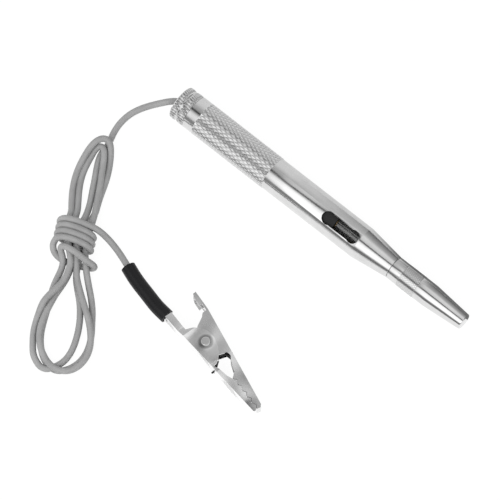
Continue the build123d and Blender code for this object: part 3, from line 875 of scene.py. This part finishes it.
class TESTLIGHT_OT_stage(bpy.types.Operator):
    """Sets up the floor, the lights and the camera"""

    bl_idname = "testlight.stage"
    bl_label = "Stage"

    def execute(self, context):
        settings = context.scene.testlight_stage
        self.world()
        self.floor()
        self.softbox(settings.softbox_power)
        self.tent()
        self.floor_card()
        self.camera(settings)
        context.scene.view_settings.view_transform = "Standard"
        return {"FINISHED"}

    def world(self):
        """White where the camera, a reflection or clear glass looks, and softer as a lamp."""
        world = bpy.data.worlds.new("white_tent")
        world.use_nodes = True
        bpy.context.scene.world = world
        tree = world.node_tree
        tree.nodes.clear()
        path = tree.nodes.new("ShaderNodeLightPath")
        seen = tree.nodes.new("ShaderNodeMath")
        seen.operation = "MAXIMUM"
        tree.links.new(path.outputs["Is Camera Ray"], seen.inputs[0])
        tree.links.new(path.outputs["Is Glossy Ray"], seen.inputs[1])
        any_seen = tree.nodes.new("ShaderNodeMath")
        any_seen.operation = "MAXIMUM"
        tree.links.new(seen.outputs[0], any_seen.inputs[0])
        tree.links.new(path.outputs["Is Transmission Ray"], any_seen.inputs[1])
        strength = tree.nodes.new("ShaderNodeMapRange")
        strength.inputs["To Min"].default_value = LIGHT_LEVEL
        strength.inputs["To Max"].default_value = SEEN_LEVEL
        tree.links.new(any_seen.outputs[0], strength.inputs["Value"])
        background = tree.nodes.new("ShaderNodeBackground")
        background.inputs["Color"].default_value = (1, 1, 1, 1)
        tree.links.new(strength.outputs["Result"], background.inputs["Strength"])
        output = tree.nodes.new("ShaderNodeOutputWorld")
        tree.links.new(background.outputs[0], output.inputs["Surface"])

    def floor(self):
        """A white table that shows as white and keeps a trace of the object's shadow."""
        bpy.ops.mesh.primitive_plane_add(size=6.0, location=(0, 0, 0))
        floor = new_piece("floor")
        finish = Finish("white_table", Base_Color=(0.9, 0.9, 0.9, 1), Roughness=0.9)
        path = finish.node("ShaderNodeLightPath", {}, {})
        seen = path.signal("Is Camera Ray").maximum(path.signal("Is Glossy Ray"))
        seen = seen.maximum(path.signal("Is Transmission Ray"))
        glow = finish.node("ShaderNodeEmission", {}, {"Color": (1, 1, 1, 1), "Strength": 1.04})
        sockets = {0: seen * 0.9, 1: finish.shader.signal("BSDF"), 2: glow.signal()}
        mixed = finish.node("ShaderNodeMixShader", {}, sockets)
        finish.feed(finish.output, "Surface", mixed.signal())
        set_material(floor, finish.material)

    def around(self, degrees, radius, x):
        """A point round the pen's axis, its angle from straight up towards the front."""
        angle = math.radians(degrees)
        return Vector((x, -radius * math.sin(angle), AXIS_Z + radius * math.cos(angle)))

    def softbox(self, power):
        light = bpy.data.lights.new("softbox", "AREA")
        light.shape = "RECTANGLE"
        light.size = SOFTBOX_LENGTH
        light.size_y = SOFTBOX_WIDTH
        light.energy = power
        lamp = bpy.data.objects.new("softbox", light)
        bpy.context.scene.collection.objects.link(lamp)
        lamp.location = self.around(SOFTBOX_DEGREES, SOFTBOX_DISTANCE, 0.0)
        lamp.rotation_euler = (math.radians(SOFTBOX_DEGREES), 0, 0)
        lamp.visible_camera = False
        lamp.visible_glossy = False

    def tent(self):
        """A long tube of light and dark bands round the pen, which only shows in reflections."""
        bpy.ops.mesh.primitive_cylinder_add(
            vertices=96,
            radius=TENT_RADIUS,
            depth=TENT_LENGTH,
            end_fill_type="NOTHING",
            location=(0, 0, AXIS_Z),
            rotation=(0, math.pi / 2, 0),
        )
        tent = new_piece("reflection_tent")
        finish = Finish("tent_bands", Base_Color=(0, 0, 0, 1), Specular_IOR_Level=0.0, Emission_Strength=1.0)
        axes = finish.node("ShaderNodeSeparateXYZ", {}, {"Vector": finish.place()})
        front = 0.0 - axes.signal("Y")
        turn = front.turn_from(axes.signal("Z"))
        share = turn * (1 / math.pi) + 0.5
        rear = finish.ramp(share, *self.bands(REAR_BANDS))
        probe = finish.ramp(share, *self.bands(PROBE_BANDS))
        sockets = {
            "Value": axes.signal("X"),
            "From Min": BANDS_CHANGE_START,
            "From Max": BANDS_CHANGE_END,
        }
        along = finish.node("ShaderNodeMapRange", {}, sockets)
        sockets = {0: along.signal("Result"), 6: rear, 7: probe}
        mixed = finish.node("ShaderNodeMix", {"data_type": "RGBA"}, sockets)
        finish.vary("Emission Color", mixed.signal(2))
        set_material(tent, finish.material)
        self.reflections_only(tent)

    @staticmethod
    def bands(table):
        """Ramp stops from pairs of degrees from straight up towards the front, and a brightness."""
        return [((degrees + 90) / 180, level) for degrees, level in table]

    @staticmethod
    def reflections_only(card):
        for ray in ("camera", "diffuse", "transmission", "shadow", "volume_scatter"):
            setattr(card, "visible_" + ray, False)

    def floor_card(self):
        """A card on the floor behind the pen, dark beside the probe end, which only shows in reflections."""
        bpy.ops.mesh.primitive_plane_add(size=1, location=(0, CARD_Y, CARD_Z))
        bpy.context.active_object.scale = (CARD_LENGTH, CARD_WIDTH, 1)
        card = new_piece("floor_card")
        finish = Finish("floor_shade", Base_Color=(0, 0, 0, 1), Specular_IOR_Level=0.0, Emission_Strength=1.0)
        axes = finish.node("ShaderNodeSeparateXYZ", {}, {"Vector": finish.place()})
        share = (axes.signal("X") + CARD_LENGTH / 2) * (1 / CARD_LENGTH)
        finish.vary("Emission Color", finish.ramp(share, *CARD_BANDS))
        set_material(card, finish.material)
        self.reflections_only(card)

    def camera(self, settings):
        """The pen's middle stands right of the picture's middle and above it."""
        turn, rise = settings.azimuth, settings.elevation
        back = Vector((math.sin(turn) * math.cos(rise), -math.cos(turn) * math.cos(rise), math.sin(rise)))
        right = Vector((math.cos(turn), math.sin(turn), 0))
        up = back.cross(right)
        aim = Vector((0, 0, AXIS_Z)) - right * AIM_LEFT * MM - up * AIM_DOWN * MM
        data = bpy.data.cameras.new("camera")
        data.lens = settings.lens
        camera = bpy.data.objects.new("camera", data)
        bpy.context.scene.collection.objects.link(camera)
        camera.location = aim + back * settings.distance
        camera.rotation_euler = back.to_track_quat("Z", "Y").to_euler()
        bpy.context.scene.camera = camera


class TESTLIGHT_OT_cord(bpy.types.Operator):
    """Lays the cord from the rear cap through the hank to the clip"""

    bl_idname = "testlight.cord"
    bl_label = "Cord"

    def execute(self, context):
        diameter = context.scene.testlight_sizes.cord_diameter
        route = [Vector(point) * MM for point in cord_route()]
        curve = bpy.data.curves.new("cord", "CURVE")
        curve.dimensions = "3D"
        spline = curve.splines.new("NURBS")
        spline.points.add(len(route) - 1)
        for point, place in zip(spline.points, route):
            point.co = (*place, 1)
        spline.order_u = 3
        spline.use_endpoint_u = True
        spline.resolution_u = 6
        curve.bevel_depth = diameter / 2
        curve.bevel_resolution = 5
        curve.use_fill_caps = True
        cord = bpy.data.objects.new("cord", curve)
        context.scene.collection.objects.link(cord)
        settings = context.scene.testlight_finish
        cord.data.materials.append(soft_vinyl("grey_jacket", tuple(settings.cord_colour), 0.5, 0.25))
        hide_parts("cord_pen_run", "cord_hank", "cord_clip_run")
        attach(cord, "cord_end")
        return {"FINISHED"}


class TESTLIGHT_OT_barrel(bpy.types.Operator):
    """Turns the barrel, knurls its grip and cuts the lamp window"""

    bl_idname = "testlight.barrel"
    bl_label = "Barrel"

    def execute(self, context):
        sizes = context.scene.testlight_sizes
        grip_x = FLANGE_X + 3.9 * MM
        body_x = grip_x + 29.7 * MM
        cone_x = body_x + 37.9 * MM
        band_radius = GRIP_RADIUS - 0.08 * MM
        body_radius = GRIP_RADIUS - 0.2 * MM
        under_grip = GRIP_RADIUS - sizes.grip_depth - 0.06 * MM
        bore = 4.7 * MM
        lap = 0.15 * MM
        ease = 0.15 * MM
        socket_x = FLANGE_X + 10.1 * MM
        socket_radius = 5.1 * MM
        thread_x = NOSE_X + 7.2 * MM
        thread_radius = 3.0 * MM
        bush_x = NOSE_X - 3.8 * MM
        bush_radius = 2.15 * MM
        outline = [
            (FLANGE_X, socket_radius),
            (FLANGE_X, band_radius - ease),
            (FLANGE_X + ease, band_radius),
            (grip_x + lap - ease, band_radius),
            (grip_x + lap, band_radius - ease),
            (grip_x + lap, under_grip),
            (body_x - lap, under_grip),
            (body_x - lap, body_radius - ease),
            (body_x - lap + ease, body_radius),
            (cone_x - ease, body_radius),
            (cone_x + ease, body_radius - ease * 0.13),
            (NOSE_X - ease / 2, NOSE_RADIUS + ease * 0.06),
            (NOSE_X, NOSE_RADIUS - ease / 2),
            (NOSE_X, thread_radius),
            (thread_x, thread_radius),
            (thread_x, bush_radius),
            (bush_x, bush_radius),
            (bush_x, 2.8 * MM),
            (cone_x + 0.8 * MM, bore),
            (socket_x, bore),
            (socket_x, socket_radius),
        ]
        barrel = turned("barrel_shell", outline)
        self.cut_window(barrel, cone_x)
        tidy_mesh(barrel)
        apply_modifier(
            barrel,
            "BEVEL",
            width=0.1 * MM,
            segments=2,
            limit_method="ANGLE",
            angle_limit=math.radians(60),
        )
        knurl = cut_band(
            "grip_knurl",
            grip_x,
            body_x,
            radius=GRIP_RADIUS,
            inner_radius=under_grip - 0.3 * MM,
            starts=sizes.grip_starts,
            depth=sizes.grip_depth,
            slant=KNURL_SLANT,
        )
        level = context.scene.testlight_finish.plate_level
        set_material(barrel, plated("satin_plate", level, smoothness=0.16, grain=0.04))
        # Painted light: the knurl has the barrel's nickel at a lighter level, with the painted shade and
        # highlight of its grooves.
        grip_plate = grooved_plate(
            "grip_plate",
            level * 1.15,
            smoothness=0.3,
            radius=GRIP_RADIUS,
            depth=sizes.grip_depth,
            bottom=0.7,
        )
        set_material(knurl, grip_plate)
        boolean(barrel, knurl, "UNION")
        smooth(barrel)
        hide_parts("barrel")
        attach(barrel, "barrel")
        return {"FINISHED"}

    def cut_window(self, barrel, cone_x):
        """A slot with a round hole at each end, turned from the top towards the front."""
        turn = math.radians(20.0)
        spacing = 10.1 * MM
        hole_radius = 2.3 * MM
        slot_width = 4.0 * MM
        front = cone_x - 2.7 * MM
        middle = 10 * MM
        centre = Vector((0, -middle * math.sin(turn), AXIS_Z + middle * math.cos(turn)))
        for x in (front, front - spacing):
            bpy.ops.mesh.primitive_cylinder_add(
                vertices=40,
                radius=hole_radius,
                depth=2 * middle,
                location=centre + Vector((x, 0, 0)),
                rotation=(turn, 0, 0),
            )
            boolean(barrel, new_piece("window_hole"), "DIFFERENCE")
        bpy.ops.mesh.primitive_cube_add(
            size=1, location=centre + Vector((front - spacing / 2, 0, 0)), rotation=(turn, 0, 0)
        )
        slot = bpy.context.active_object
        slot.scale = (spacing, slot_width, 2 * middle)
        boolean(barrel, new_piece("window_slot"), "DIFFERENCE")


class TESTLIGHT_OT_rear_cap(bpy.types.Operator):
    """Turns the rear cap and cuts its two bands of flutes"""

    bl_idname = "testlight.rear_cap"
    bl_label = "Rear Cap"

    def execute(self, context):
        sizes = context.scene.testlight_sizes
        core = GRIP_RADIUS - sizes.flute_depth - 0.08 * MM
        ease = 0.2 * MM
        waist = REAR_X + 2.7 * MM
        half_waist = 0.42 * MM
        chamfer = 0.3 * MM
        thread_end = REAR_X + 13.7 * MM
        thread_radius = 4.98 * MM
        bore = 3.2 * MM
        bore_end = REAR_X + 1.7 * MM
        cord_hole = 1.4 * MM
        outline = [
            (REAR_X, 2.0 * MM),
            (REAR_X, core - chamfer),
            (REAR_X + chamfer, core),
            (waist - half_waist / 2, core),
            (waist, core - half_waist / 2),
            (waist + half_waist / 2, core),
            (FLANGE_X - ease / 2, core),
            (FLANGE_X - ease / 2, thread_radius),
            (thread_end, thread_radius),
            (thread_end, bore),
            (bore_end, bore),
            (bore_end, cord_hole),
            (REAR_X + 0.6 * MM, cord_hole),
        ]
        cap = turned("rear_cap_shell", outline)
        level = context.scene.testlight_finish.plate_level
        set_material(cap, plated("cap_plate", level, smoothness=0.16, grain=0.04))
        spans = (
            (REAR_X + 0.25 * MM, waist - half_waist),
            (waist + half_waist, FLANGE_X - ease),
        )
        for i, (start, end) in enumerate(spans):
            band = cut_band(
                f"flutes_{i}",
                start,
                end,
                radius=GRIP_RADIUS,
                inner_radius=core - 0.4 * MM,
                starts=sizes.flutes,
                depth=sizes.flute_depth,
                slant=0.0,
            )

            def at_end(vertex):
                return min(abs(vertex.co.x - start), abs(vertex.co.x - end)) < MM / 20

            choose(band, "vertices", at_end)
            draw_in(1 - ease / GRIP_RADIUS)
            bpy.ops.object.mode_set(mode="OBJECT")
            # Painted light: the flutes have the cap's nickel at a lighter level, with the painted shade and
            # highlight of their grooves.
            flute_plate = grooved_plate(
                f"flute_plate_{i}",
                level * 1.1,
                smoothness=0.28,
                radius=GRIP_RADIUS,
                depth=sizes.flute_depth,
                bottom=0.6,
            )
            set_material(band, flute_plate)
            boolean(cap, band, "UNION")
        smooth(cap)
        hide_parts("rear_cap")
        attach(cap, "cord_end")
        return {"FINISHED"}


class TESTLIGHT_OT_front_cap(bpy.types.Operator):
    """Turns the front cap and knurls its grip"""

    bl_idname = "testlight.front_cap"
    bl_label = "Front Cap"

    def execute(self, context):
        sizes = context.scene.testlight_sizes
        ease = 0.15 * MM
        seat_x = NOSE_X + 0.08 * MM
        knurl_x = NOSE_X + 4.0 * MM
        knurl_end = knurl_x + 7.0 * MM
        taper_x = NOSE_X + 15.3 * MM
        tip_radius = 2.85 * MM
        under = NOSE_RADIUS - sizes.cap_depth
        knurl_radius = NOSE_RADIUS + 0.05 * MM
        thread_end = NOSE_X + 8.0 * MM
        thread_radius = 3.1 * MM
        needle_end = TIP_X - 2.7 * MM
        needle_bore = 1.9 * MM
        outline = [
            (seat_x, thread_radius),
            (seat_x, NOSE_RADIUS - ease),
            (seat_x + ease, NOSE_RADIUS),
            (knurl_x + ease, NOSE_RADIUS),
            (knurl_x + ease, under),
            (knurl_end - ease, under),
            (knurl_end - ease, NOSE_RADIUS),
            (taper_x - ease, NOSE_RADIUS),
            (taper_x + ease, NOSE_RADIUS - ease * 0.08),
        ]
        round_radius = 0.5 * MM
        for i in range(7):
            angle = math.pi / 2 * i / 6
            x = TIP_X - round_radius + round_radius * math.sin(angle)
            outline.append((x, tip_radius - round_radius + round_radius * math.cos(angle)))
        outline += [
            (TIP_X - 0.12 * MM, 0.0),
            (needle_end, 0.0),
            (needle_end, needle_bore),
            (thread_end, needle_bore),
            (thread_end, thread_radius),
        ]
        cap = turned("front_cap_shell", outline)
        knurl = cut_band(
            "cap_knurl",
            knurl_x,
            knurl_end,
            radius=knurl_radius,
            inner_radius=under - 0.3 * MM,
            starts=sizes.cap_starts,
            depth=sizes.cap_depth,
            slant=KNURL_SLANT,
        )
        level = context.scene.testlight_finish.plate_level
        set_material(cap, plated("polished_plate", level, smoothness=0.12, grain=0.03))
        cap_grip_plate = grooved_plate(
            "cap_grip_plate",
            level,
            smoothness=0.16,
            radius=knurl_radius,
            depth=sizes.cap_depth,
            bottom=0.75,
        )
        set_material(knurl, cap_grip_plate)
        boolean(cap, knurl, "UNION")
        smooth(cap)
        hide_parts("front_cap")
        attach(cap, "front_cap")
        return {"FINISHED"}


class TESTLIGHT_OT_frame_finishes(bpy.types.Operator):
    """Gives the frame's own pieces their materials"""

    bl_idname = "testlight.frame_finishes"
    bl_label = "Frame Finishes"

    def execute(self, context):
        settings = context.scene.testlight_finish
        steel = coloured_metal("needle_steel", (0.5, 0.5, 0.5), 0.25)
        brass = coloured_metal("brass", (0.72, 0.52, 0.24), 0.3)
        copper = coloured_metal("copper", (0.8, 0.42, 0.3), 0.35)
        dark_steel = coloured_metal("dark_steel", (0.03, 0.03, 0.03), 0.45)
        groups = (
            (pressed_plate("lower_jaw_plate", settings.clip_level, 0.2), ["clip_lower_jaw"]),
            # Painted shade: the upper jaw has the same plate as the lower one at a darker level.
            (pressed_plate("upper_jaw_plate", settings.clip_level * 0.8, 0.24), ["clip_upper_jaw"]),
            (plated("rivet_plate", settings.plate_level, 0.2, 0.05), ["clip_pivot"]),
            (dark_steel, ["clip_spring"]),
            (soft_vinyl("black_boot", tuple(settings.boot_colour), 0.45, 0.3), ["clip_boot"]),
            (soft_vinyl("dark_fibre", (0.02, 0.02, 0.02), 0.7, 0.3), ["insulating_tube", "rear_washer"]),
            (clear_glass("lamp_glass_clear"), ["lamp_glass"]),
            (brass, ["lamp_shell", "lamp_front_cap", "contact_plunger"]),
            (brass, ["contact_disc", "cord_ferrule", "needle_bush"]),
            (steel, ["probe_needle", "contact_spring", "lamp_supports"]),
            (coloured_metal("solder", (0.6, 0.6, 0.58), 0.35), ["solder_joint"]),
            (coloured_metal("tungsten", (0.35, 0.35, 0.36), 0.4), ["lamp_filament"]),
            (copper, ["pen_conductor", "clip_conductor"]),
        )
        for material, nodes in groups:
            for name in nodes:
                set_material(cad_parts[name], material)
        return {"FINISHED"}


class TESTLIGHT_PT_panel(bpy.types.Panel):
    """Lists the steps that build the test light"""

    bl_label = "Circuit Test Light"
    bl_idname = "TESTLIGHT_PT_panel"
    bl_space_type = "VIEW_3D"
    bl_region_type = "UI"
    bl_category = "Test Light"

    def draw(self, context):
        for step in STEPS:
            self.layout.operator(step.bl_idname)
        for group in ("testlight_finish", "testlight_sizes", "testlight_stage"):
            settings = getattr(context.scene, group)
            for name in settings.__annotations__:
                self.layout.prop(settings, name)


STEPS = (
    TESTLIGHT_OT_stage,
    TESTLIGHT_OT_cord,
    TESTLIGHT_OT_barrel,
    TESTLIGHT_OT_rear_cap,
    TESTLIGHT_OT_front_cap,
    TESTLIGHT_OT_frame_finishes,
)
SETTINGS = (FinishSettings, SizeSettings, StageSettings)


def register():
    for item in (*SETTINGS, *STEPS, TESTLIGHT_PT_panel):
        bpy.utils.register_class(item)
    bpy.types.Scene.testlight_finish = bpy.props.PointerProperty(type=FinishSettings)
    bpy.types.Scene.testlight_sizes = bpy.props.PointerProperty(type=SizeSettings)
    bpy.types.Scene.testlight_stage = bpy.props.PointerProperty(type=StageSettings)


def unregister():
    del bpy.types.Scene.testlight_stage
    del bpy.types.Scene.testlight_sizes
    del bpy.types.Scene.testlight_finish
    for item in reversed((*SETTINGS, *STEPS, TESTLIGHT_PT_panel)):
        bpy.utils.unregister_class(item)


def main():
    register()
    deselect()
    bpy.ops.testlight.stage()
    bpy.ops.testlight.cord()
    bpy.ops.testlight.barrel()
    bpy.ops.testlight.rear_cap()
    bpy.ops.testlight.front_cap()
    bpy.ops.testlight.frame_finishes()


if __name__ == "__main__":
    main()
